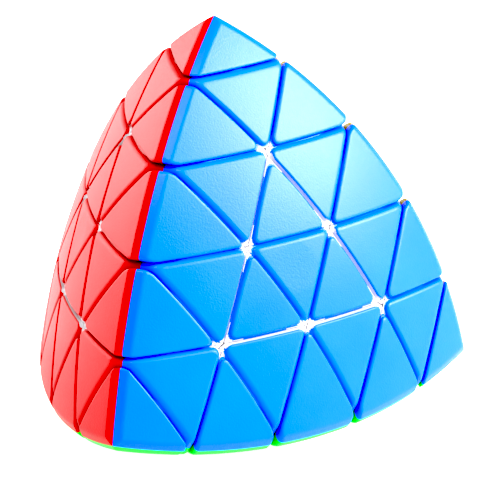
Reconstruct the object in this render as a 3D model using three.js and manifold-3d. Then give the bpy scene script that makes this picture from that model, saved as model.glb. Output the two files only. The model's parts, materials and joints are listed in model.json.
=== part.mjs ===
// A pillowed pyramid twisty puzzle: a tetrahedron with four bulged faces, five layers deep along
// each of its four corner axes, on a four-armed core. Millimetres, +Z up, standing on one face.
import * as THREE from 'three';
import { mergeVertices } from 'three/addons/utils/BufferGeometryUtils.js';
import Module from 'manifold-3d';

// ---- Outer shape ------------------------------------------------------------------------------
const EDGE_LENGTH = 100; // tip to tip, before the edges are eased
const FACE_RADIUS = 156.1; // radius of each bulged face
const RIDGE_DEPTH = 1.3; // how far each curved edge is cut back, at its ridge
const BAND_TURN = 12; // degrees between each band beside the ridge and the flat across the edge
const BAND_REACH = 60; // half width of the cutting drum
const FACE_FLAT_DEPTH = 0.15; // the flat at the pole of each face, on which the puzzle rests

// ---- Cuts: distances from the centre, along each corner axis ------------------------------------
const CUT_LEVELS = [-2.1, 16.3, 34.1, 49.5];
const GAP = 0.5; // running gap between two pieces

// ---- Mechanism ----------------------------------------------------------------------------------
const CORE_RADIUS = 15;
const ARM_RADIUS = 4.3;
const ARM_REACH = 33.6; // end of an arm, from the centre
const CORE_CLEARANCE = 0.6; // room between the core and the pieces that turn round it
const SCREW_RADIUS = 1.5;
const SCREW_HEAD_RADIUS = 3.5;
const SCREW_HEAD_HEIGHT = 1.8;
const SCREW_HEAD_LEVEL = 45; // underside of the head, from the centre
const SCREW_THREAD_DEPTH = 13; // length of the screw inside the arm
const SCREW_SLOT_WIDTH = 0.9;
const SCREW_SLOT_DEPTH = 1;
const BORE_CLEARANCE = 0.4; // round the screw, in the arm and in the corner block
const POCKET_RADIUS = 4.7; // spring pocket in the corner block
const POCKET_FLOOR = 38; // from the centre
const STEM_RADIUS = 4; // the tip's stem, in the mouth of the pocket
const STEM_LEVEL = 47.5; // inner end of the stem, from the centre
const FOOT_INNER_RADIUS = 6.6; // feet of the edge pieces, under the corner block's shoulder
const FOOT_OUTER_RADIUS = 12;
const FOOT_HEIGHT = 2.2;
const FOOT_CLEARANCE = 0.4;

// ---- Mesh steps -----------------------------------------------------------------------------------
const FACE_RINGS = 6;
const FACE_SEGMENTS = 30;
const EDGE_SEGMENTS = 80;
const BALL_SEGMENTS = 20;
const ROUND_SEGMENTS = 16;
const FAR = 400; // larger than the puzzle, for half-spaces

// ---- Derived --------------------------------------------------------------------------------------
const FACE_LEVEL = EDGE_LENGTH / (2 * Math.sqrt(6)); // flat face of the plain tetrahedron
const FACE_REACH = EDGE_LENGTH / Math.sqrt(3); // centre of a face to its corners
const SPHERE_OFFSET = Math.sqrt(FACE_RADIUS ** 2 - FACE_REACH ** 2) - FACE_LEVEL;
const POLE_LEVEL = FACE_RADIUS - SPHERE_OFFSET - FACE_FLAT_DEPTH;
const TETRA_COS = 1 / 3; // a corner axis and the outward normal of a neighbouring face
const TETRA_SIN = Math.sqrt(1 - TETRA_COS ** 2);

const CORNERS = {
  top: new THREE.Vector3(0, 0, 1),
  left: cornerAxis(-150),
  right: cornerAxis(-30),
  back: cornerAxis(90),
};
const CORNER_NAMES = Object.keys(CORNERS);
const FACE_OPPOSITE = { top: 'bottom', left: 'right', right: 'left', back: 'front' };

const COLOURS = {
  front: 0x1492f2,
  left: 0xe8141c,
  bottom: 0x1fc04a,
  right: 0xf4cf1c,
  frame: 0xeef0f2,
  steel: 0xb9bcc0,
};

const wasm = await Module();
wasm.setup();

function cornerAxis(degrees) {
  const turn = THREE.MathUtils.degToRad(degrees);
  return new THREE.Vector3(TETRA_SIN * Math.cos(turn), TETRA_SIN * Math.sin(turn), -TETRA_COS);
}

// ---- Solids -----------------------------------------------------------------------------------------

// A closed three.js geometry as a manifold solid.
function solid(geometry) {
  const plain = new THREE.BufferGeometry();
  plain.setAttribute('position', geometry.attributes.position.clone());
  if (geometry.index) plain.setIndex(geometry.index.clone());
  const merged = mergeVertices(plain, 1e-4);
  const vertProperties = new Float32Array(merged.attributes.position.array);
  const triVerts = new Uint32Array(merged.index.array);
  return new wasm.Manifold(new wasm.Mesh({ numProp: 3, vertProperties, triVerts }));
}

// Back to a three.js geometry.
function geometryOf(manifold) {
  const mesh = manifold.getMesh();
  const geometry = new THREE.BufferGeometry();
  geometry.setAttribute('position', new THREE.BufferAttribute(mesh.vertProperties, 3));
  geometry.setIndex(new THREE.BufferAttribute(mesh.triVerts, 1));
  geometry.computeVertexNormals();
  return geometry;
}

// Turns a geometry so that its +Z points along an axis, and moves it out along that axis.
function along(geometry, axis, level = 0) {
  const turn = new THREE.Quaternion().setFromUnitVectors(new THREE.Vector3(0, 0, 1), axis);
  geometry.applyQuaternion(turn);
  geometry.translate(axis.x * level, axis.y * level, axis.z * level);
  return geometry;
}

// A body of revolution about an axis through the centre; profile points are [radius, level].
function turned(profile, axis, segments) {
  const points = profile.map(([radius, level]) => new THREE.Vector2(radius, level));
  const geometry = new THREE.LatheGeometry(points, segments);
  geometry.rotateX(Math.PI / 2);
  return solid(along(geometry, axis));
}

function rod(radius, from, to, axis, segments = ROUND_SEGMENTS) {
  return turned([[0, from], [radius, from], [radius, to], [0, to]], axis, segments);
}

// The space between two planes square to an axis.
function slab(from, to, axis) {
  const geometry = new THREE.BoxGeometry(FAR, FAR, to - from);
  return solid(along(geometry, axis, (from + to) / 2));
}

// ---- The pillowed tetrahedron -----------------------------------------------------------------------

// Everything inside one bulged face, with the small flat at its pole.
function faceBulge(corner) {
  const outward = CORNERS[corner].clone().negate();
  const flatRadius = Math.sqrt(FACE_RADIUS ** 2 - (POLE_LEVEL + SPHERE_OFFSET) ** 2);
  const reach = FACE_REACH + FACE_LEVEL;
  const profile = [[0, -FAR / 2], [reach, -FAR / 2]];
  for (let ring = FACE_RINGS; ring >= 0; ring -= 1) {
    const radius = flatRadius + ((reach - flatRadius) * ring) / FACE_RINGS;
    profile.push([radius, Math.sqrt(FACE_RADIUS ** 2 - radius ** 2) - SPHERE_OFFSET]);
  }
  profile.push([0, POLE_LEVEL]);
  return turned(profile, outward, FACE_SEGMENTS);
}

// Everything inside the eased edge between two corners: a wide drum whose ridged rim follows the edge.
function edgeDrum(cornerA, cornerB) {
  const across = CORNER_NAMES.filter((name) => name !== cornerA && name !== cornerB);
  const axis = CORNERS[across[0]].clone().sub(CORNERS[across[1]]).normalize();
  const outward = CORNERS[cornerA].clone().add(CORNERS[cornerB]).normalize();
  const halfSpread = SPHERE_OFFSET * Math.sqrt((1 + TETRA_COS) / 2);
  const ridgeRadius = Math.sqrt(FACE_RADIUS ** 2 - halfSpread ** 2) - RIDGE_DEPTH;
  const sideRadius = ridgeRadius - BAND_REACH * Math.tan(THREE.MathUtils.degToRad(BAND_TURN));
  const drumOffset = SPHERE_OFFSET * Math.sqrt((1 - TETRA_COS) / 2);
  const profile = [
    [0, -BAND_REACH],
    [sideRadius, -BAND_REACH],
    [ridgeRadius, 0],
    [sideRadius, BAND_REACH],
    [0, BAND_REACH],
  ];
  const drum = turned(profile, axis, EDGE_SEGMENTS);
  return drum.translate(outward.multiplyScalar(-drumOffset).toArray());
}

function pillowedTetrahedron() {
  let body = faceBulge(CORNER_NAMES[0]);
  CORNER_NAMES.slice(1).forEach((corner) => {
    body = body.intersect(faceBulge(corner));
  });
  CORNER_NAMES.forEach((cornerA, index) => {
    CORNER_NAMES.slice(index + 1).forEach((cornerB) => {
      body = body.intersect(edgeDrum(cornerA, cornerB));
    });
  });
  return body;
}

// ---- Pieces: one pattern of each kind ---------------------------------------------------------------

// The block of the body in one layer of each corner axis; layer 0 is under the opposite face.
function block(body, layers) {
  let piece = body;
  CORNER_NAMES.forEach((corner, index) => {
    const layer = layers[index];
    const from = layer === 0 ? -FAR : CUT_LEVELS[layer - 1] + GAP / 2;
    const to = layer === CUT_LEVELS.length ? FAR : CUT_LEVELS[layer] - GAP / 2;
    piece = piece.intersect(slab(from, to, CORNERS[corner]));
  });
  return piece;
}

// Room for the core's ball and arms.
function mechanismRoom() {
  const ball = new THREE.SphereGeometry(CORE_RADIUS + CORE_CLEARANCE, BALL_SEGMENTS, BALL_SEGMENTS / 2);
  let room = solid(ball);
  CORNER_NAMES.forEach((corner) => {
    const reach = CUT_LEVELS[2] - GAP / 4;
    room = room.add(rod(ARM_RADIUS + CORE_CLEARANCE, 0, reach, CORNERS[corner]));
  });
  return room;
}

// The recess under the corner block's shoulder, which holds the three edge pieces' feet.
function shoulderRing(clearance) {
  const from = CUT_LEVELS[2] + GAP / 2 - clearance;
  const to = CUT_LEVELS[2] + GAP / 2 + FOOT_HEIGHT + clearance;
  const inner = FOOT_INNER_RADIUS - clearance;
  const outer = FOOT_OUTER_RADIUS + clearance;
  const profile = [[inner, from], [outer, from], [outer, to], [inner, to], [inner, from]];
  return turned(profile, CORNERS.top, ROUND_SEGMENTS);
}

// The third of the corner on the left edge's side, short of its neighbours by the running gap.
function leftThird() {
  const outward = CORNERS.left.clone().setZ(0).normalize();
  const sides = [CORNERS.right, CORNERS.back].map((axis) => {
    const other = axis.clone().setZ(0).normalize();
    return slab(GAP / 2, FAR, outward.clone().sub(other).normalize());
  });
  return sides[0].intersect(sides[1]);
}

function tipPiece(body) {
  const stem = rod(STEM_RADIUS, STEM_LEVEL, CUT_LEVELS[3] + GAP, CORNERS.top);
  return block(body, [4, 0, 0, 0]).add(stem);
}

function cornerBlock(body) {
  const bore = rod(SCREW_RADIUS + BORE_CLEARANCE, CUT_LEVELS[2], POCKET_FLOOR + GAP, CORNERS.top);
  const pocket = rod(POCKET_RADIUS, POCKET_FLOOR, CUT_LEVELS[3], CORNERS.top);
  return block(body, [3, 0, 0, 0]).subtract(bore).subtract(pocket).subtract(shoulderRing(FOOT_CLEARANCE));
}

function edgePiece(body) {
  const foot = shoulderRing(0).intersect(leftThird());
  return block(body, [3, 1, 0, 0]).add(foot);
}

function plainPiece(layers) {
  return (body, room) => block(body, layers).subtract(room);
}

// ---- Core and screws -----------------------------------------------------------------------------------

function core() {
  let body = solid(new THREE.SphereGeometry(CORE_RADIUS, BALL_SEGMENTS, BALL_SEGMENTS / 2));
  CORNER_NAMES.forEach((corner) => {
    body = body.add(rod(ARM_RADIUS, 0, ARM_REACH, CORNERS[corner]));
  });
  CORNER_NAMES.forEach((corner) => {
    const holeFrom = ARM_REACH - SCREW_THREAD_DEPTH - BORE_CLEARANCE;
    body = body.subtract(rod(SCREW_RADIUS + BORE_CLEARANCE, holeFrom, ARM_REACH + GAP, CORNERS[corner]));
  });
  return body;
}

function screw() {
  const from = ARM_REACH - SCREW_THREAD_DEPTH;
  const head = SCREW_HEAD_LEVEL;
  const crown = head + SCREW_HEAD_HEIGHT;
  const profile = [
    [0, from],
    [SCREW_RADIUS, from],
    [SCREW_RADIUS, head],
    [SCREW_HEAD_RADIUS, head],
    [SCREW_HEAD_RADIUS, crown],
    [0, crown],
  ];
  let body = turned(profile, CORNERS.top, ROUND_SEGMENTS);
  [0, Math.PI / 2].forEach((turn) => {
    const slot = new THREE.BoxGeometry(SCREW_HEAD_RADIUS * 1.2, SCREW_SLOT_WIDTH, 2 * SCREW_SLOT_DEPTH);
    slot.rotateZ(turn);
    slot.translate(0, 0, crown);
    body = body.subtract(solid(slot));
  });
  return body;
}

// ---- Placing --------------------------------------------------------------------------------------------

// The turn that carries the top and left corners to two named corners.
function turnTo(first, second) {
  const basis = (a, b) => {
    const z = CORNERS[a].clone();
    const x = CORNERS[b].clone().addScaledVector(z, -CORNERS[b].dot(z)).normalize();
    return new THREE.Matrix4().makeBasis(x, z.clone().cross(x), z);
  };
  const matrix = basis(first, second).multiply(basis('top', 'left').transpose());
  return new THREE.Quaternion().setFromRotationMatrix(matrix);
}

// Whether the turn top to first, left to second also carries back to far.
function sameHand(first, second, far) {
  if (first === second) return false;
  return CORNERS.back.clone().applyQuaternion(turnTo(first, second)).distanceTo(CORNERS[far]) < 0.01;
}

function plastic(colour) {
  return new THREE.MeshStandardMaterial({ color: colour, roughness: 0.42, metalness: 0 });
}

const puzzle = new THREE.Group();
puzzle.position.z = POLE_LEVEL;

function place(name, geometry, material, first = 'top', second = 'left') {
  const mesh = new THREE.Mesh(geometry, material);
  mesh.name = name;
  mesh.quaternion.copy(turnTo(first, second));
  puzzle.add(mesh);
}

// The face that a piece shows most, for a piece that lies along the corners given.
function faceColour(...corners) {
  const far = ['back', 'right', 'top', 'left'].find((corner) => !corners.includes(corner));
  return COLOURS[FACE_OPPOSITE[far]];
}

const body = pillowedTetrahedron();
const room = mechanismRoom();
const shapes = {
  tip: geometryOf(tipPiece(body)),
  corner: geometryOf(cornerBlock(body)),
  edge: geometryOf(edgePiece(body)),
  middle: geometryOf(plainPiece([2, 2, 0, 0])(body, room)),
  wing: geometryOf(plainPiece([2, 1, 0, 0])(body, room)),
  petal: geometryOf(plainPiece([2, 1, 1, 0])(body, room)),
  centre: geometryOf(plainPiece([1, 1, 1, 0])(body, room)),
};
const screwShape = geometryOf(screw());
const steel = new THREE.MeshStandardMaterial({ color: COLOURS.steel, roughness: 0.3, metalness: 1 });

place('core', geometryOf(core()), plastic(COLOURS.frame));

CORNER_NAMES.forEach((corner) => {
  const others = CORNER_NAMES.filter((name) => name !== corner);
  place(`screw_${corner}`, screwShape, steel, corner, others[0]);
  place(`tip_${corner}`, shapes.tip, plastic(faceColour(corner)), corner, others[0]);
  place(`corner_block_${corner}`, shapes.corner, plastic(faceColour(corner)), corner, others[0]);
  others.forEach((other) => {
    const colour = plastic(faceColour(corner, other));
    place(`edge_${corner}_${other}`, shapes.edge, colour, corner, other);
    place(`wing_${corner}_${other}`, shapes.wing, colour, corner, other);
  });
});

// One middle piece on each of the six edges.
CORNER_NAMES.forEach((cornerA, index) => {
  CORNER_NAMES.slice(index + 1).forEach((cornerB) => {
    const colour = plastic(faceColour(cornerA, cornerB));
    place(`middle_${cornerA}_${cornerB}`, shapes.middle, colour, cornerA, cornerB);
  });
});

// Each face: its centre and the three petals round it. The patterns lie on the front face.
CORNER_NAMES.forEach((far) => {
  const face = FACE_OPPOSITE[far];
  const colour = plastic(COLOURS[face]);
  const round = CORNER_NAMES.filter((name) => name !== far);
  round.forEach((near) => {
    const next = round.find((name) => sameHand(near, name, far));
    place(`petal_${face}_${near}`, shapes.petal, colour, near, next);
  });
  const next = round.find((name) => sameHand(round[0], name, far));
  place(`centre_${face}`, shapes.centre, colour, round[0], next);
});

export default puzzle;
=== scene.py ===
"""A pillowed pyramid twisty puzzle in solid-coloured plastic: the visual model.

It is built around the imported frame. Every outside piece is a rounded body worked out from the
same cuts and bulged faces as its CAD node. Lengths in the mesh code are millimetres from the
puzzle's centre, and they become metres when a mesh is made.
"""
import json
import math

import bpy
import numpy as np
from mathutils import Matrix, Vector


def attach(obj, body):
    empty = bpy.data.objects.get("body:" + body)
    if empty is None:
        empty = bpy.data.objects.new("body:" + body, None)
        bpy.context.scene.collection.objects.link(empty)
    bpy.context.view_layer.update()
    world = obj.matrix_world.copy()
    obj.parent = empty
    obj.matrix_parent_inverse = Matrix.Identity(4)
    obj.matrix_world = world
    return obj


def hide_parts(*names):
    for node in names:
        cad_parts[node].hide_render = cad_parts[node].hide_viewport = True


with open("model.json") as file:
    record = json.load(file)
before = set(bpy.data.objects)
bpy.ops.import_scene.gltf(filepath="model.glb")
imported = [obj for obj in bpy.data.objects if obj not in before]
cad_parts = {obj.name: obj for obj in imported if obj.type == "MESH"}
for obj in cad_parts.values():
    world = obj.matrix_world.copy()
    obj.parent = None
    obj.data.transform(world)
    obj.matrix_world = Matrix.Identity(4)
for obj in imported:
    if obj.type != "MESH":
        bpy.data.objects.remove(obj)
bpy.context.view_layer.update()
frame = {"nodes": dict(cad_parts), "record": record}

MM = 0.001

# ---- Outer shape and cuts, as in the CAD model -------------------------------------------------
EDGE_LENGTH = 100.0
FACE_RADIUS = 156.1
RIDGE_DEPTH = 1.36
BAND_TURN = 12.0
FACE_FLAT_DEPTH = 0.15  # the flat at each face's pole, on which the puzzle rests
FACE_INSET = 0.06  # keeps the true bulge inside the CAD's facets
CUT_LEVELS = (-2.1, 16.3, 34.1, 49.5)
GAP = 0.5
CORE_ROOM = 15.6  # radius kept free for the core's ball
ARM_ROOM = 4.9  # and round each of its arms
POCKET = (4.7, 38.0, 52.0)  # radius, inner and outer level of the spring pocket in a corner block
SCREW_BORE = (1.9, 33.0, 38.5)
STEM = (4.0, 47.5, 50.5)  # the tip's stem in the mouth of the pocket
FOOT_RING = (6.6, 12.0, 34.35, 36.55)  # inner and outer radius and level of the edges' feet
FOOT_CLEARANCE = 0.4
FOOT_ROOM_BELOW = 1.0  # how far the room for the feet is cut below them
HEAD_LEVEL = 45.0  # underside of a screw's head
SPRING_RADIUS = 2.9  # to the middle of the wire
SPRING_WIRE = 0.4  # half the wire's thickness
WASHER_BORE = 1.75
WASHER_RADIUS = 3.4
WASHER_THICKNESS = 0.5
SEAT = 0.02  # clearance between parts that rest on each other

# ---- Roundings ---------------------------------------------------------------------------------
RIM_ROUND = 0.78  # along the rim of every coloured tile
CRISP_ROUND = 0.3  # along a wing's walls that face a petal
CORNER_ROUND = 1.6  # between two side walls
EDGE_CORNER_ROUND = 2.0  # the same on the edge pieces
CREASE_ROUND = 0.22  # where the bands beside an edge meet a face
RIDGE_ROUND = 0.12  # along the ridge of an edge
INNER_ROUND = 0.4  # against the room for the core

# ---- Petals, white bases and coloured shells ---------------------------------------------------
PETAL_SETBACK = 0.22  # how far a petal's sides towards the wings stand back
PETAL_BOW = 0.55  # how much more they fall back at their ends
PETAL_BOW_LIMIT = 1.3  # the bow stops at this share of its size at the ends
BASE_CORNER = 0.12  # the white base keeps sharper corners than the coloured cap on it
BASE_PROUD = 0.2  # and stands this much nearer to its neighbours
BASE_REACH = 1.8  # how far it reaches under an opening, where no other piece is
BASE_DEPTH = 0.8  # top of the base, below the coloured face
BASE_SETBACK = 4.5  # and below the ridge of an edge
BASE_SHARE = 0.1  # clearance between two bases that share the space under an opening
BASE_MARGIN = 0.22  # a face is on the base if the base stands this much prouder than BASE_PROUD
BASE_TOP_MARGIN = 0.25  # and if it is no more than this above the top of the base
SHELL_DEPTH = 3.2  # coloured plastic below the surface, above the white body
THIN_SHELL_DEPTH = 0.42  # the same on a wing's wall that faces a petal

# ---- Mesh steps --------------------------------------------------------------------------------
EDGE_STEPS = (0.0, 0.3, 0.6, 0.9, 1.25, 1.7, 2.2, 2.7, 3.2, 4.2, 6.0, 8.2, 10.6, 13.2)
TILE_RINGS = (0.25, 0.5, 0.75, 1.0, 1.3, 1.65, 2.0, 2.3, 2.6, 3.1, 4.0)
WALL_RINGS = (0.22, 0.44, 0.7, 1.0, 1.4, 2.0, 2.6, 3.3)
NICK_LENGTH = 4.0  # a wall with less rim than this only nicks a corner
LONG_SIDE = 1.5  # shorter sides don't count when a polygon's inner radius is measured
SMALL_INRADIUS = 0.5  # for a polygon with no long side
LAST_RING = 0.86  # share of the way to the middle at which the rings stop
MIDDLE_GAP = 0.12  # no edge point is nearer than this to the middle of its edge
ROD_PHASE = 0.37  # keeps a rod's points off the mesh lines of the pieces
WHITE_SLOT = 4  # slots of a mesh in work: 0 to 3 are the coloured faces
TOOL_SLOT = 5  # faces cut or joined by a rod or a ring

# ---- Numerical work ----------------------------------------------------------------------------
BOX_HALF = 90.0  # a box round everything, to start the cutting from
FIRST_RISE = 9.0  # first guess of how far a tile's plane lies above the plain tetrahedron
CUT_ROUNDS = 6
SETTLE_ROUNDS = 12
SKEW = (0.31, 0.52, 0.79)  # a direction along nothing in the puzzle
FAR_INSIDE = -50.0  # the distance given where a room isn't near
GRADIENT_STEP = 0.01
ON_SURFACE = 1e-4  # a point this near lies on a surface
HUB_ROUNDS = 60
HUB_STEP = 0.3
HUB_DEPTH = 5.0  # a hub this deep in its piece is deep enough
HUB_GAIN = 0.01
RAY_REACH = (0.02, 1.3)  # shares of a ray between which the surface is looked for
RAY_ROUNDS = 34

# ---- Camera: degrees and metres, from the puzzle's centre --------------------------------------
CAMERA_AZIMUTH = -38.1
CAMERA_ELEVATION = 19.301
CAMERA_ROLL = 0.2985
CAMERA_VIEW = 4.7219
CAMERA_DISTANCE = 1.2761
CAMERA_RIGHT = 0.00586
CAMERA_UP = 0.007775
SENSOR_WIDTH = 36.0

# ---- Floor and light: degrees and metres -------------------------------------------------------
FLOOR_HALF = 3.0
FLOOR_LEVEL = -0.0002  # just below the puzzle, so that the two don't share a plane
FLOOR_GREY = 0.6
FLOOR_GLOW = 1.0  # the floor is a lit table
WORLD_LIGHT = 0.6
BLACK_LEVEL = 0.085
LIGHT_DISTANCE = 1.6
SOFT_BOXES = (  # name, azimuth, elevation, size, radiance
    ("key", -40.0, 30.0, 0.87, 48.0),
    ("rim", 96.0, 12.0, 1.2, 5.5),
    ("top", -150.0, 68.0, 0.87, 14.0),
)

# ---- Derived -----------------------------------------------------------------------------------
FACE_LEVEL = EDGE_LENGTH / (2 * math.sqrt(6))
FACE_REACH = EDGE_LENGTH / math.sqrt(3)
SPHERE_OFFSET = math.sqrt(FACE_RADIUS**2 - FACE_REACH**2) - FACE_LEVEL
DRUM_RADIUS = math.sqrt(FACE_RADIUS**2 - SPHERE_OFFSET**2 * 2 / 3) - RIDGE_DEPTH
DRUM_OFFSET = SPHERE_OFFSET / math.sqrt(3)
POLE_LEVEL = FACE_RADIUS - SPHERE_OFFSET - FACE_FLAT_DEPTH

CORNERS = ("top", "left", "right", "back")
FACE_OPPOSITE = {"top": "bottom", "left": "right", "right": "left", "back": "front"}


def corner_axes():
    """The four corner axes and the centre, in metres, from the frame's joints."""
    joints = {j["name"]: j for j in frame["record"]["behaviour"]["joints"]}
    axes = {c: np.array(joints[f"{c}_tip_turn"]["axis"], float) for c in CORNERS}
    return axes, Vector(joints["top_tip_turn"]["pos_m"])


AXIS, CENTRE = corner_axes()
AXES = np.array([AXIS[c] for c in CORNERS])
AXES_APART = 1.633  # length of the difference between two axes


# ---- Distances ---------------------------------------------------------------------------------
def rounded_max(distances, radius):
    """The distance outside all of several surfaces at once, with their meeting edges rounded."""
    raised = np.maximum(distances + radius, 0.0)
    inside = np.minimum(np.max(distances + radius, axis=0), 0.0)
    return np.sqrt((raised**2).sum(axis=0)) + inside - radius


def sphere_distance(face, points):
    """Distance outside the bulge of the face opposite a corner."""
    return np.linalg.norm(points - SPHERE_OFFSET * AXES[face], axis=1) - FACE_RADIUS


def tile_distance(face, points):
    """Distance outside the face opposite a corner: its bulge, with the small flat at the pole."""
    return np.maximum(sphere_distance(face, points) + FACE_INSET, -points @ AXES[face] - POLE_LEVEL)


def ease_distance(first, second, points):
    """Distance outside the eased edge between two corners: two bands that meet in a ridge."""
    outward = AXES[first] + AXES[second]
    outward = outward / np.linalg.norm(outward)
    others = [i for i in range(4) if i not in (first, second)]
    along = AXES[others[0]] - AXES[others[1]]
    along = along / np.linalg.norm(along)
    rel = points + DRUM_OFFSET * outward
    aside = rel @ along
    rel = rel - np.outer(aside, along)
    aside = np.sqrt(aside**2 + RIDGE_ROUND**2) - RIDGE_ROUND
    turn = math.radians(BAND_TURN)
    return (np.linalg.norm(rel, axis=1) - DRUM_RADIUS) * math.cos(turn) + aside * math.sin(turn)


def wall_planes(layers):
    """(name, outward normal, offset) of each cut that bounds a piece."""
    planes = []
    for axis, layer in enumerate(layers):
        if layer < len(CUT_LEVELS):
            planes.append((("upper", axis), AXES[axis], CUT_LEVELS[layer] - GAP / 2))
        if layer > 0:
            planes.append((("lower", axis), -AXES[axis], -(CUT_LEVELS[layer - 1] + GAP / 2)))
    return planes


class Piece:
    """The rounded body of one kind of piece, as a distance field."""

    def __init__(self, layers):
        self.layers = layers
        self.walls = wall_planes(layers)
        self.faces = [axis for axis, layer in enumerate(layers) if layer == 0]
        self.edges = [(a, b) for a in range(4) for b in range(a + 1, 4)]
        self.meets_room = max(layers) < 3
        self.free_walls = {
            (1, 1, 1, 0): [("lower", 0), ("lower", 1), ("lower", 2)],
            (2, 1, 0, 0): [("lower", 1)],
        }.get(layers, [])
        self.crisp_walls = [("upper", 2), ("upper", 3)] if layers == (2, 1, 0, 0) else []
        if layers == (2, 1, 1, 0):
            self.find_sides()

    def wall_distance(self, name, normal, offset, points):
        """Distance outside a side wall; a petal's walls towards the wings are set back and bowed."""
        flat = points @ normal - offset
        if self.layers != (2, 1, 1, 0) or name not in (("lower", 1), ("lower", 2)):
            return flat
        along = np.cross(normal, AXES[3])
        along = along / np.linalg.norm(along)
        aside = points @ along - self.side_middle[name] @ along
        bow = PETAL_BOW * np.minimum((aside / self.side_half) ** 2, PETAL_BOW_LIMIT)
        return flat + PETAL_SETBACK + bow

    def find_sides(self):
        """Middle and half length of a petal's sides, where its cuts meet on the bulge."""
        ends = {}
        for pair in ((0, 1), (0, 2), (1, 2)):
            names = [("tile", 3)] + [("lower", axis) for axis in pair]
            ends[pair] = settle(-AXES[3] * FACE_LEVEL * 1.4, names, self)
        self.side_middle = {
            ("lower", 1): (ends[(0, 1)] + ends[(1, 2)]) / 2,
            ("lower", 2): (ends[(0, 2)] + ends[(1, 2)]) / 2,
        }
        self.side_half = np.linalg.norm(ends[(0, 1)] - ends[(1, 2)]) / 2

    def cap(self, points):
        """Distance outside the coloured cap, which reaches right down."""
        walls = np.array([self.wall_distance(*wall, points) for wall in self.walls])
        tops = [tile_distance(face, points) for face in self.faces]
        tops += [ease_distance(a, b, points) for a, b in self.edges]
        is_edge = self.layers == (3, 1, 0, 0)
        body = rounded_max(walls, EDGE_CORNER_ROUND if is_edge else CORNER_ROUND)
        top = rounded_max(np.array(tops), CREASE_ROUND)
        if not self.crisp_walls:
            return rounded_max(np.array([body, top]), RIM_ROUND)
        soft = [i for i, wall in enumerate(self.walls) if wall[0] not in self.crisp_walls]
        soft_body = rounded_max(walls[soft], CORNER_ROUND)
        return np.maximum(
            rounded_max(np.array([soft_body, top]), RIM_ROUND),
            rounded_max(np.array([body, top]), CRISP_ROUND),
        )

    def base(self, points):
        """Distance outside the white base, which fills the cap's rounded corners lower down."""
        walls = []
        for name, normal, offset in self.walls:
            reach = BASE_REACH if name in self.free_walls else BASE_PROUD
            walls.append(points @ normal - offset - reach)
        if self.layers == (2, 1, 0, 0):
            walls += [points @ (AXES[k] - AXES[1]) / AXES_APART + BASE_SHARE for k in (2, 3)]
        walls = np.array(walls)
        tops = [tile_distance(face, points) + BASE_DEPTH for face in self.faces]
        tops += [ease_distance(a, b, points) + BASE_SETBACK for a, b in self.edges]
        body = rounded_max(walls, BASE_CORNER)
        return rounded_max(np.array([body, np.max(tops, axis=0)]), BASE_CORNER)

    def distance(self, points):
        """Distance outside the whole piece: cap and base together, less the room for the core."""
        both = np.minimum(self.cap(points), self.base(points))
        if not self.meets_room:
            return both
        rooms = [CORE_ROOM - np.linalg.norm(points, axis=1)]
        for axis in AXES:
            off_axis = np.linalg.norm(points - np.outer(points @ axis, axis), axis=1)
            rooms.append(np.where(points @ axis > 0, ARM_ROOM - off_axis, FAR_INSIDE))
        return rounded_max(np.array([both, np.max(rooms, axis=0)]), INNER_ROUND)

    def normals(self, points):
        """The outward direction at each point, from the distance's slope."""
        grad = np.zeros_like(points)
        for k in range(3):
            shift = np.zeros(3)
            shift[k] = GRADIENT_STEP
            grad[:, k] = self.distance(points + shift) - self.distance(points - shift)
        return grad / np.maximum(np.linalg.norm(grad, axis=1, keepdims=True), 1e-9)


# ---- Sharp-edged pattern of a piece, as flat polygons ------------------------------------------
def clip(polygons, normal, offset, name):
    """A convex body's polygons, [(name, corners)], cut by the half-space normal . p <= offset."""
    kept, rim = [], []
    for label, corners in polygons:
        ring = []
        for p, q in zip(corners, np.roll(corners, -1, axis=0)):
            a, b = normal @ p - offset, normal @ q - offset
            if a <= 0:
                ring.append(p)
            if a * b < 0:
                cross = p + (q - p) * (a / (a - b))
                ring.append(cross)
                rim.append(cross)
        if len(ring) > 2:
            kept.append((label, np.array(ring)))
    if rim:
        kept.append((name, ordered(rim, normal)))
    return kept


def ordered(points, normal):
    """Points of a convex polygon, each once, anticlockwise about the normal."""
    single = []
    for p in points:
        if all(np.linalg.norm(p - q) > 1e-6 for q in single):
            single.append(p)
    middle = np.mean(single, axis=0)
    side = np.cross(normal, SKEW)
    side = side / np.linalg.norm(side)
    other = np.cross(normal, side)

    def turn(p):
        return math.atan2((p - middle) @ other, (p - middle) @ side)

    return np.array(sorted(single, key=turn))


def big_box(half):
    """The six sides of a box about the centre, as polygons."""
    polygons = []
    for k in range(3):
        for sign in (-1, 1):
            normal = np.zeros(3)
            normal[k] = sign
            corners = []
            for u in (-half, half):
                for v in (-half, half):
                    corner = np.zeros(3)
                    corner[k], corner[(k + 1) % 3], corner[(k + 2) % 3] = sign * half, u, v
                    corners.append(corner)
            polygons.append((("box", k), ordered(corners, normal)))
    return polygons


def cut_walls(piece, skipped):
    """A big box cut down to a piece's side walls, leaving the skipped ones out."""
    walls = big_box(BOX_HALF)
    for name, normal, offset in piece.walls:
        if name not in skipped:
            walls = clip(walls, normal, offset, name)
    return walls


def cut_body(piece, skipped=()):
    """The piece with flat faces, each coloured face a plane through its tile's corners."""
    walls = cut_walls(piece, skipped)
    planes = {face: (-AXES[face], FACE_LEVEL + FIRST_RISE) for face in piece.faces}
    for _ in range(CUT_ROUNDS):
        body = walls
        for face, (normal, offset) in planes.items():
            body = clip(body, normal, offset, ("tile", face))
        for face in piece.faces:
            corners = next(c for name, c in body if name == ("tile", face))
            middle = corners.mean(axis=0) - SPHERE_OFFSET * AXES[face]
            normal = middle / np.linalg.norm(middle)
            planes[face] = (normal, (on_bulge(corners, face) @ normal).mean())
    return body


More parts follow.
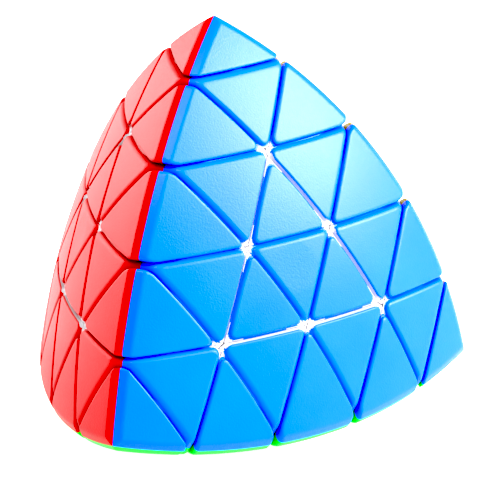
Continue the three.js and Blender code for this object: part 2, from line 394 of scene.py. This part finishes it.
def sharp_body(piece):
    """The flat-faced piece without the walls that only nick one of its corners."""
    nicks = []
    for name, corners in cut_body(piece):
        around = np.linalg.norm(np.roll(corners, -1, axis=0) - corners, axis=1).sum()
        if around < NICK_LENGTH:
            nicks.append(name)
    return cut_body(piece, nicks)


def surface_value(name, point, piece):
    """(value, gradient) of a wall's plane or a tile's sphere at a point."""
    kind, axis = name
    if kind == "tile":
        rel = point - SPHERE_OFFSET * AXES[axis]
        size = np.linalg.norm(rel)
        return size - FACE_RADIUS, rel / size
    normal, offset = next((n, o) for label, n, o in piece.walls if label == name)
    return normal @ point - offset, normal


def settle(point, names, piece):
    """Moves a point onto all the named surfaces."""
    for _ in range(SETTLE_ROUNDS):
        rows = [surface_value(name, point, piece) for name in names]
        jac = np.array([g for _, g in rows])
        step = np.linalg.lstsq(jac, np.array([v for v, _ in rows]), rcond=None)[0]
        point = point - step
    return point


def true_corners(body, piece):
    """The body's polygons, their corners settled onto the bulged faces and cuts they lie on."""
    every = [(name, tuple(p)) for name, corners in body for p in corners]
    settled = []
    for name, corners in body:
        ring = []
        for p in corners:
            names = sorted({n for n, q in every if np.linalg.norm(np.array(q) - p) < 1e-5})
            corner = settle(p, names[:3], piece)
            if not ring or np.linalg.norm(corner - ring[-1]) > 1e-3:
                ring.append(corner)
        if np.linalg.norm(ring[0] - ring[-1]) < 1e-3:
            ring.pop()
        if len(ring) > 2:
            settled.append((name, np.array(ring)))
    return settled


def shared_surfaces(points, piece):
    """The tiles and cuts that all the points lie on."""
    names = [("tile", face) for face in piece.faces]
    distances = [sphere_distance(face, points) for face in piece.faces]
    for name, normal, offset in piece.walls:
        names.append(name)
        distances.append(points @ normal - offset)
    return [name for name, distance in zip(names, distances) if np.abs(distance).max() < ON_SURFACE]


def on_rim(point, start, end, piece):
    """A point between two corners, on the curved rim if both corners are on one."""
    names = shared_surfaces(np.array([start, end]), piece)
    if names and names[0][0] == "tile":
        return settle(point, names[:2], piece)
    return point


def nearest_part(corners, face, piece):
    """The part of a wall that is nearer to one coloured face than to the piece's others."""
    for other in piece.faces:
        if other == face:
            continue
        heights = corners @ (AXES[face] - AXES[other])
        heights[np.abs(heights) < 1e-4] = 0.0
        ring = []
        for i in range(len(corners)):
            j = (i + 1) % len(corners)
            a, b = heights[i], heights[j]
            if a <= 0:
                ring.append(corners[i])
            if a * b < 0:
                ring.append(corners[i] + (corners[j] - corners[i]) * (a / (a - b)))
        if len(ring) < 3 or heights.min() == 0.0:
            return None
        corners = np.array(ring)
    return corners


def pattern(piece):
    """The piece's polygons: (name, corners, nearest coloured face)."""
    out = []
    for name, corners in true_corners(sharp_body(piece), piece):
        if name[0] == "tile":
            out.append((name, corners, name[1]))
            continue
        for face in piece.faces:
            part = nearest_part(corners, face, piece)
            if part is not None:
                out.append((name, part, face))
    return out


# ---- Graded mesh over the pattern --------------------------------------------------------------
def graded(length):
    """Fractions along an edge, close together near both ends."""
    near = [s for s in EDGE_STEPS if s == 0 or s < length / 2 - MIDDLE_GAP]
    steps = near + [length / 2] + [length - s for s in reversed(near)]
    return [s / length for s in steps]


def edge_points(p, q, piece):
    """Points from p to q, without q; on a tile's rim they follow the bulge."""
    fractions = graded(np.linalg.norm(q - p))[:-1]
    points = [p + (q - p) * t for t in fractions]
    return [points[0]] + [on_rim(x, p, q, piece) for x in points[1:]]


def rod(radius, low, high, segments=48):
    """(points, faces) of a rod on the top axis."""
    turns = (np.arange(segments) + ROD_PHASE) * 2 * math.pi / segments
    rim = [(radius * math.cos(t), radius * math.sin(t)) for t in turns]
    points = [(x, y, z) for z in (low, high) for x, y in rim]
    faces = [list(range(segments))[::-1], list(range(segments, 2 * segments))]
    for i in range(segments):
        j = (i + 1) % segments
        faces.append([i, j, segments + j, segments + i])
    return points, faces


def ring(inner, outer, low, high, segments=64):
    """(points, faces) of a square-edged ring round the top axis."""
    profile = [(inner, low), (outer, low), (outer, high), (inner, high)]
    turns = np.arange(segments) * 2 * math.pi / segments
    points = [(r * math.cos(t), r * math.sin(t), z) for t in turns for r, z in profile]
    faces = []
    for i in range(segments):
        j = (i + 1) % segments
        for k in range(4):
            m = (k + 1) % 4
            faces.append([4 * i + k, 4 * i + m, 4 * j + m, 4 * j + k][::-1])
    return points, faces


def foot(inner, outer, low, high, steps=16):
    """(points, faces) of a third of a ring, on the left edge's side and short of its neighbours."""
    middle = math.atan2(AXES[1][1], AXES[1][0])
    points = []
    for i in range(steps + 1):
        for radius in (inner, outer):
            spread = math.pi / 3 - math.asin(GAP / 2 / radius)
            turn = middle + spread * (2 * i / steps - 1)
            for z in (low, high) if radius == inner else (high, low):
                points.append((radius * math.cos(turn), radius * math.sin(turn), z))
    faces = [[0, 1, 2, 3], [4 * steps + k for k in (3, 2, 1, 0)]]
    for i in range(steps):
        for k in range(4):
            m = (k + 1) % 4
            faces.append([4 * i + k, 4 * i + 4 + k, 4 * i + 4 + m, 4 * i + m])
    return points, faces


def temporary(points, faces, slots=None):
    """A short-lived object with a mesh in millimetres and room for the slots used."""
    mesh = bpy.data.meshes.new("temporary")
    mesh.from_pydata([tuple(p) for p in points], [], faces)
    for _ in range(TOOL_SLOT + 1):
        mesh.materials.append(None)
    mesh.polygons.foreach_set("material_index", slots or [TOOL_SLOT] * len(faces))
    mesh.update()
    thing = bpy.data.objects.new("temporary", mesh)
    bpy.context.scene.collection.objects.link(thing)
    return thing


def worked(points, faces, slots, operations):
    """The mesh after rods and rings have been joined to it or cut from it."""
    target = temporary(points, faces, slots)
    tools = []
    for operation, (tool_points, tool_faces) in operations:
        tool = temporary(tool_points, tool_faces)
        step = target.modifiers.new(operation, "BOOLEAN")
        step.operation, step.object, step.solver = operation, tool, "EXACT"
        tools.append(tool)
    bpy.context.view_layer.update()
    done = target.evaluated_get(bpy.context.evaluated_depsgraph_get())
    mesh = done.to_mesh()
    points = np.array([v.co[:] for v in mesh.vertices])
    faces = [list(face.vertices) for face in mesh.polygons]
    slots = [face.material_index for face in mesh.polygons]
    done.to_mesh_clear()
    for thing in [target] + tools:
        mesh = thing.data
        bpy.data.objects.remove(thing)
        bpy.data.meshes.remove(mesh)
    return points, faces, slots


def inner_parts(layers):
    """What is joined to or cut from a kind of piece inside the puzzle."""
    inner, outer, low, high = FOOT_RING
    if layers == (4, 0, 0, 0):
        return [("UNION", rod(*STEM))]
    if layers == (3, 0, 0, 0):
        low, high = low - FOOT_ROOM_BELOW, high + FOOT_CLEARANCE
        room = ring(inner - FOOT_CLEARANCE, outer + FOOT_CLEARANCE, low, high)
        return [("DIFFERENCE", tool) for tool in (rod(*POCKET), rod(*SCREW_BORE), room)]
    if layers == (3, 1, 0, 0):
        return [("UNION", foot(*FOOT_RING))]
    return []


class MeshDraft:
    """Vertices merged by place, and faces that know their polygon."""

    def __init__(self):
        self.index, self.points, self.faces, self.labels = {}, [], [], []

    def add(self, point):
        key = tuple(np.round(point, 4))
        if key not in self.index:
            self.index[key] = len(self.points)
            self.points.append(point)
        return self.index[key]

    def face(self, ids, label):
        ids = [a for a, b in zip(ids, ids[1:] + ids[:1]) if a != b]
        if len(ids) > 2:
            self.faces.append(ids)
            self.labels.append(label)


def fill(draft, name, corners, face, piece):
    """Rings of quads from a polygon's rim to its middle, on the bulge if it is a tile."""
    rim = []
    for p, q in zip(corners, np.roll(corners, -1, axis=0)):
        flip = tuple(np.round(p, 5)) > tuple(np.round(q, 5))
        if flip:
            stretch = edge_points(q, p, piece)[1:][::-1]
            rim += [p] + stretch
        else:
            rim += edge_points(p, q, piece)
    rim = np.array(rim)
    middle = corners.mean(axis=0)
    sides = np.roll(corners, -1, axis=0) - corners
    gaps = []
    for p, side, length in zip(corners, sides, np.linalg.norm(sides, axis=1)):
        if length > LONG_SIDE:
            rel = middle - p
            gaps.append(np.linalg.norm(rel - side * (rel @ side) / length**2))
    inradius = min(gaps, default=SMALL_INRADIUS)
    steps = [s / inradius for s in (TILE_RINGS if name[0] == "tile" else WALL_RINGS)]
    shrink = [0.0] + [s for s in steps if s < LAST_RING]
    previous = None
    for s in shrink:
        ring = rim + (middle - rim) * s
        if name[0] == "tile" and s > 0:
            ring = on_bulge(ring, name[1])
        ids = [draft.add(p) for p in ring]
        if previous:
            for i in range(len(ids)):
                j = (i + 1) % len(ids)
                draft.face([previous[i], previous[j], ids[j], ids[i]], (name, face))
        previous = ids
    if name[0] == "tile":
        middle = on_bulge(middle[None, :], name[1])[0]
    hub = draft.add(middle)
    for i in range(len(previous)):
        draft.face([previous[i], previous[(i + 1) % len(previous)], hub], (name, face))


def on_bulge(points, face):
    """Points pushed straight out from the bulge's own centre onto it."""
    rel = points - SPHERE_OFFSET * AXES[face]
    stretch = FACE_RADIUS / np.linalg.norm(rel, axis=1, keepdims=True)
    return SPHERE_OFFSET * AXES[face] + rel * stretch


def rounded_points(piece, points):
    """Each point drawn in along its ray from the middle of the piece onto the rounded body."""
    hub = points[np.unique(np.round(points, 3), axis=0, return_index=True)[1]].mean(axis=0)
    best = piece.distance(hub[None, :])[0]
    for _ in range(HUB_ROUNDS):
        inner = hub - piece.normals(hub[None, :])[0] * HUB_STEP
        depth = piece.distance(inner[None, :])[0]
        if best < -HUB_DEPTH or depth > best - HUB_GAIN:
            break
        hub, best = inner, depth
    rays = points - hub
    low, high = (np.full(len(points), share) for share in RAY_REACH)
    for _ in range(RAY_ROUNDS):
        mid = (low + high) / 2
        inside = piece.distance(hub + rays * mid[:, None]) < 0
        low = np.where(inside, mid, low)
        high = np.where(inside, high, mid)
    return hub + rays * ((low + high) / 2)[:, None]


def shell_depth(piece, name):
    """Thickness of the coloured plastic at a wall: thin on a wing's walls that face a petal."""
    if piece.layers == (2, 1, 0, 0) and name in (("upper", 2), ("upper", 3)):
        return THIN_SHELL_DEPTH
    return SHELL_DEPTH


def colours_of(piece, draft, points):
    """The coloured face that each face of the mesh belongs to, or None on the white base."""
    middles = np.array([points[ids].mean(axis=0) for ids in draft.faces])
    on_base = piece.base(middles) < piece.cap(middles) - BASE_PROUD - BASE_MARGIN
    depths = np.array([-sphere_distance(face, middles) for face in range(4)])
    out = []
    for i, (name, face) in enumerate(draft.labels):
        depth = depths[face][i]
        low_on_base = on_base[i] and depth > BASE_DEPTH - BASE_TOP_MARGIN
        white = depth > shell_depth(piece, name) or low_on_base
        out.append(None if white else face)
    return out


def shape(layers):
    """(points in millimetres, normals, faces, colours, which are inner parts) of one kind."""
    piece = Piece(layers)
    draft = MeshDraft()
    for name, corners, face in pattern(piece):
        fill(draft, name, corners, face, piece)
    points = rounded_points(piece, np.array(draft.points))
    faces = draft.faces
    colours = colours_of(piece, draft, points)
    operations = inner_parts(layers)
    inside = [False] * len(faces)
    if operations:
        slots = [WHITE_SLOT if colour is None else colour for colour in colours]
        points, faces, slots = worked(points, faces, slots, operations)
        colours = [slot if slot < WHITE_SLOT else None for slot in slots]
        inside = [slot == TOOL_SLOT for slot in slots]
    return points, piece.normals(points), faces, colours, inside


# ---- Materials ---------------------------------------------------------------------------------
CLOUD_SCALE = 60.0
CLOUD_DARK, CLOUD_LIGHT, CLOUD_LIFT = 0.955, 1.03, 0.004
GRAIN_SCALE = 2600.0
GRAIN_HEIGHT = 0.00005
PLASTIC_GLOSS_SPREAD = 0.05
MARK_SCALE = 900.0
MARK_DARK = 0.85
METAL_GLOSS_SPREAD = 0.08


def plastic(name, colour, roughness, grain, specular, tint):
    """Moulded plastic: a faint cloudiness in the colour, a fine grain in gloss and surface."""
    material = bpy.data.materials.new(name)
    material.use_nodes = True
    nodes, links = material.node_tree.nodes, material.node_tree.links
    shader = nodes["Principled BSDF"]
    place = nodes.new("ShaderNodeTexCoord")
    cloud = nodes.new("ShaderNodeTexNoise")
    cloud.inputs["Scale"].default_value = CLOUD_SCALE
    cloud.inputs["Detail"].default_value = 3.0
    links.new(place.outputs["Object"], cloud.inputs["Vector"])
    shade = nodes.new("ShaderNodeValToRGB")
    shade.color_ramp.elements[0].position = 0.3
    shade.color_ramp.elements[1].position = 0.7
    shade.color_ramp.elements[0].color = (*[c * CLOUD_DARK for c in colour], 1)
    lighter = [min(1.0, c * CLOUD_LIGHT + CLOUD_LIFT) for c in colour]
    shade.color_ramp.elements[1].color = (*lighter, 1)
    links.new(cloud.outputs["Fac"], shade.inputs["Fac"])
    links.new(shade.outputs["Color"], shader.inputs["Base Color"])
    fine = nodes.new("ShaderNodeTexNoise")
    fine.inputs["Scale"].default_value = GRAIN_SCALE
    fine.inputs["Detail"].default_value = 2.0
    links.new(place.outputs["Object"], fine.inputs["Vector"])
    gloss = nodes.new("ShaderNodeMapRange")
    gloss.inputs["To Min"].default_value = roughness - PLASTIC_GLOSS_SPREAD
    gloss.inputs["To Max"].default_value = roughness + PLASTIC_GLOSS_SPREAD
    links.new(fine.outputs["Fac"], gloss.inputs["Value"])
    links.new(gloss.outputs["Result"], shader.inputs["Roughness"])
    bump = nodes.new("ShaderNodeBump")
    bump.inputs["Strength"].default_value = grain
    bump.inputs["Distance"].default_value = GRAIN_HEIGHT
    links.new(fine.outputs["Fac"], bump.inputs["Height"])
    links.new(bump.outputs["Normal"], shader.inputs["Normal"])
    shader.inputs["Specular IOR Level"].default_value = specular
    shader.inputs["Specular Tint"].default_value = (*tint, 1)
    return material


def metal(name, colour, roughness):
    """Plated steel with faint turning marks in its gloss."""
    material = bpy.data.materials.new(name)
    material.use_nodes = True
    nodes, links = material.node_tree.nodes, material.node_tree.links
    shader = nodes["Principled BSDF"]
    shader.inputs["Metallic"].default_value = 1.0
    place = nodes.new("ShaderNodeTexCoord")
    marks = nodes.new("ShaderNodeTexNoise")
    marks.inputs["Scale"].default_value = MARK_SCALE
    links.new(place.outputs["Object"], marks.inputs["Vector"])
    tint = nodes.new("ShaderNodeValToRGB")
    tint.color_ramp.elements[0].color = (*[c * MARK_DARK for c in colour], 1)
    tint.color_ramp.elements[1].color = (*colour, 1)
    links.new(marks.outputs["Fac"], tint.inputs["Fac"])
    links.new(tint.outputs["Color"], shader.inputs["Base Color"])
    gloss = nodes.new("ShaderNodeMapRange")
    gloss.inputs["To Min"].default_value = roughness - METAL_GLOSS_SPREAD
    gloss.inputs["To Max"].default_value = roughness + METAL_GLOSS_SPREAD
    links.new(marks.outputs["Fac"], gloss.inputs["Value"])
    links.new(gloss.outputs["Result"], shader.inputs["Roughness"])
    return material


# base colour, roughness, grain, specular level and specular tint of each face's plastic
PLASTICS = {
    "front": plastic("blue_plastic", (0.0, 0.11, 0.97), 0.4, 0.7, 0.4, (0.68, 0.62, 1.0)),
    "left": plastic("red_plastic", (0.46, 0.003, 0.004), 0.4, 0.7, 0.2, (1.0, 0.8, 0.8)),
    "bottom": plastic("green_plastic", (0.0, 0.55, 0.02), 0.4, 0.7, 0.35, (0.6, 1.0, 0.6)),
    "right": plastic("yellow_plastic", (0.3, 0.21, 0.006), 0.4, 0.7, 0.35, (1.0, 1.0, 0.6)),
}
WHITE = plastic("white_plastic", (0.48, 0.47, 0.49), 0.5, 0.4, 0.3, (1.0, 1.0, 1.0))
STEEL = metal("plated_steel", (0.7, 0.7, 0.72), 0.3)


# ---- Placing -----------------------------------------------------------------------------------
def turn_to(order):
    """The turn that carries the corner axes, in CORNERS' order, to those named."""
    target = np.array([AXIS[c] for c in order]).T
    return target @ np.linalg.pinv(AXES.T)


def even(order):
    """Whether an order of the corners is a pure turn of the puzzle."""
    return np.linalg.det(turn_to(order)) > 0


def full_order(first, second):
    """All four corners, the two given ones first, in an order that is a pure turn."""
    rest = [c for c in CORNERS if c not in (first, second)]
    for tail in (rest, rest[::-1]):
        if even([first, second, *tail]):
            return [first, second, *tail]
    raise ValueError("no turn")


SHAPES = {}


def make_piece(node, layers, order, body):
    """One outside piece: its kind's shape turned into place, in the colours that it shows."""
    if layers not in SHAPES:
        SHAPES[layers] = shape(layers)
    points, normals, faces, colours, inside = SHAPES[layers]
    turn = turn_to(order)
    mesh = bpy.data.meshes.new(f"{node}_body")
    placed = (points @ turn.T) * MM + np.array(CENTRE)
    mesh.from_pydata([tuple(p) for p in placed], [], faces)
    shown = sorted({c for c in colours if c is not None})
    for face in shown:
        mesh.materials.append(PLASTICS[FACE_OPPOSITE[order[face]]])
    mesh.materials.append(WHITE)
    slots = [shown.index(c) if c is not None else len(shown) for c in colours]
    mesh.polygons.foreach_set("material_index", slots)
    mesh.polygons.foreach_set("use_smooth", [not flat for flat in inside])
    mesh.update()
    turned_normals = normals @ turn.T
    corner_normals = []
    for flat, ids in zip(inside, faces):
        corner_normals += [(0.0, 0.0, 0.0) if flat else tuple(turned_normals[i]) for i in ids]
    mesh.normals_split_custom_set(corner_normals)
    piece = bpy.data.objects.new(f"{node}_rounded", mesh)
    bpy.context.scene.collection.objects.link(piece)
    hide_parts(node)
    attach(piece, body)
    return piece


BODIES = frame["record"]["behaviour"]["bodies"]
BODY_OF = {node: body for body, nodes in BODIES.items() for node in nodes}


def make_pieces():
    """All 54 outside pieces."""
    jobs = []
    for a in CORNERS:
        others = [c for c in CORNERS if c != a]
        jobs.append((f"tip_{a}", (4, 0, 0, 0), full_order(a, others[0])))
        jobs.append((f"corner_block_{a}", (3, 0, 0, 0), full_order(a, others[0])))
        for b in others:
            jobs.append((f"edge_{a}_{b}", (3, 1, 0, 0), full_order(a, b)))
            jobs.append((f"wing_{a}_{b}", (2, 1, 0, 0), full_order(a, b)))
            if CORNERS.index(a) < CORNERS.index(b):
                jobs.append((f"middle_{a}_{b}", (2, 2, 0, 0), full_order(a, b)))
    for far in CORNERS:
        face = FACE_OPPOSITE[far]
        near = [c for c in CORNERS if c != far]
        for a in near:
            b = next(c for c in near if c != a and full_order(a, c)[3] == far)
            jobs.append((f"petal_{face}_{a}", (2, 1, 1, 0), full_order(a, b)))
            if a == near[0]:
                jobs.append((f"centre_{face}", (1, 1, 1, 0), full_order(a, b)))
    for node, layers, order in jobs:
        piece = make_piece(node, layers, order, BODY_OF[node])


make_pieces()


# ---- Core, screws, springs and washers ---------------------------------------------------------
def finish_inner_nodes():
    """The CAD core and screws keep their shapes and get their materials."""
    for name, node in frame["nodes"].items():
        if name == "core":
            node.data.materials.clear()
            node.data.materials.append(WHITE)
        elif name.startswith("screw_"):
            node.data.materials.clear()
            node.data.materials.append(STEEL)


finish_inner_nodes()


def inner_piece(name, points, faces, order, body):
    """A steel piece on a corner's axis, given on the top axis in millimetres."""
    placed = (np.array(points) @ turn_to(order).T) * MM + np.array(CENTRE)
    mesh = bpy.data.meshes.new(f"{name}_mesh")
    mesh.from_pydata([tuple(p) for p in placed], [], faces)
    mesh.materials.append(STEEL)
    mesh.polygons.foreach_set("use_smooth", [len(face) == 4 and "spring" in name for face in faces])
    mesh.update()
    piece = bpy.data.objects.new(name, mesh)
    bpy.context.scene.collection.objects.link(piece)
    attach(piece, body)


def coil(low, high, turns=5, steps=28, sides=8):
    """(points, faces) of a round wire coiled on the top axis."""
    count = turns * steps
    points = []
    for i in range(count + 1):
        turn = 2 * math.pi * i / steps
        level = low + SPRING_WIRE + (high - low - 2 * SPRING_WIRE) * i / count
        for k in range(sides):
            around = 2 * math.pi * k / sides
            radius = SPRING_RADIUS + SPRING_WIRE * math.cos(around)
            height = level + SPRING_WIRE * math.sin(around)
            points.append((radius * math.cos(turn), radius * math.sin(turn), height))
    faces = [list(range(sides)), [count * sides + k for k in range(sides)][::-1]]
    for i in range(count):
        for k in range(sides):
            m = (k + 1) % sides
            faces.append([i * sides + k, (i + 1) * sides + k, (i + 1) * sides + m, i * sides + m])
    return points, faces


def make_springs():
    """A spring between two washers in each corner block's pocket, under the screw's head."""
    low, high = POCKET[1] + SEAT, HEAD_LEVEL - SEAT
    under = ring(WASHER_BORE, WASHER_RADIUS, low, low + WASHER_THICKNESS)
    over = ring(WASHER_BORE, WASHER_RADIUS, high - WASHER_THICKNESS, high)
    wire = coil(POCKET[1] + WASHER_THICKNESS + 2 * SEAT, HEAD_LEVEL - WASHER_THICKNESS - 2 * SEAT)
    parts = (("spring", wire), ("inner_washer", under), ("outer_washer", over))
    for corner in CORNERS:
        order = full_order(corner, next(c for c in CORNERS if c != corner))
        body = BODY_OF[f"corner_block_{corner}"]
        for name, (points, faces) in parts:
            inner_piece(f"{name}_{corner}", points, faces, order, body)


make_springs()


# ---- Floor, light and camera -------------------------------------------------------------------
def make_stage():
    """A plain pale floor that glows like a light table."""
    mesh = bpy.data.meshes.new("floor")
    signs = ((-1, -1), (1, -1), (1, 1), (-1, 1))
    corners = [(x * FLOOR_HALF, y * FLOOR_HALF, FLOOR_LEVEL) for x, y in signs]
    mesh.from_pydata(corners, [], [(0, 1, 2, 3)])
    floor = bpy.data.objects.new("floor", mesh)
    paper = bpy.data.materials.new("floor_paper")
    paper.use_nodes = True
    shader = paper.node_tree.nodes["Principled BSDF"]
    shader.inputs["Base Color"].default_value = (FLOOR_GREY, FLOOR_GREY, FLOOR_GREY, 1)
    shader.inputs["Roughness"].default_value = 0.9
    shader.inputs["Specular IOR Level"].default_value = 0.1
    shader.inputs["Emission Color"].default_value = (1.0, 1.0, 1.0, 1)
    shader.inputs["Emission Strength"].default_value = FLOOR_GLOW
    mesh.materials.append(paper)
    bpy.context.scene.collection.objects.link(floor)


def direction(azimuth, elevation):
    """Azimuth from +X towards +Y, and elevation, in degrees."""
    azimuth, elevation = math.radians(azimuth), math.radians(elevation)
    flat = math.cos(elevation)
    return Vector((math.cos(azimuth) * flat, math.sin(azimuth) * flat, math.sin(elevation)))


def soft_box(name, azimuth, elevation, size, radiance):
    """A round soft light turned to the middle of the puzzle."""
    data = bpy.data.lights.new(name, "AREA")
    data.shape = "DISK"
    data.size = size
    data.energy = radiance * math.pi * math.pi * (size / 2) ** 2
    light = bpy.data.objects.new(name, data)
    aim = direction(azimuth, elevation)
    light.location = Vector(CENTRE) + aim * LIGHT_DISTANCE
    light.rotation_euler = (-aim).to_track_quat("-Z", "Y").to_euler()
    bpy.context.scene.collection.objects.link(light)


def make_lights():
    """Even light from all round, and the soft boxes."""
    world = bpy.data.worlds.new("studio")
    bpy.context.scene.world = world
    world.use_nodes = True
    background = world.node_tree.nodes["Background"]
    background.inputs["Color"].default_value = (1.0, 1.0, 1.0, 1)
    background.inputs["Strength"].default_value = WORLD_LIGHT
    for box in SOFT_BOXES:
        soft_box(*box)


def make_camera():
    """A long lens at the photograph's viewing angle."""
    azimuth, elevation = math.radians(CAMERA_AZIMUTH), math.radians(CAMERA_ELEVATION)
    roll = math.radians(CAMERA_ROLL)
    flat = math.cos(elevation)
    back = Vector((math.sin(azimuth) * flat, -math.cos(azimuth) * flat, math.sin(elevation)))
    turn = (-back).to_track_quat("-Z", "Y").to_matrix().to_4x4() @ Matrix.Rotation(roll, 4, "Z")
    sideways = turn.to_3x3() @ Vector((CAMERA_RIGHT, CAMERA_UP, 0.0))
    data = bpy.data.cameras.new("camera")
    data.sensor_width = SENSOR_WIDTH
    data.lens = SENSOR_WIDTH / 2 / math.tan(math.radians(CAMERA_VIEW) / 2)
    data.clip_start, data.clip_end = 0.05, 20.0
    camera = bpy.data.objects.new("camera", data)
    camera.matrix_world = Matrix.Translation(CENTRE + back * CAMERA_DISTANCE + sideways) @ turn
    bpy.context.scene.collection.objects.link(camera)
    bpy.context.scene.camera = camera


make_stage()
make_lights()
make_camera()
view = bpy.context.scene.view_settings
view.view_transform = "Standard"
view.use_curve_mapping = True
view.curve_mapping.black_level = (BLACK_LEVEL, BLACK_LEVEL, BLACK_LEVEL)
view.curve_mapping.update()
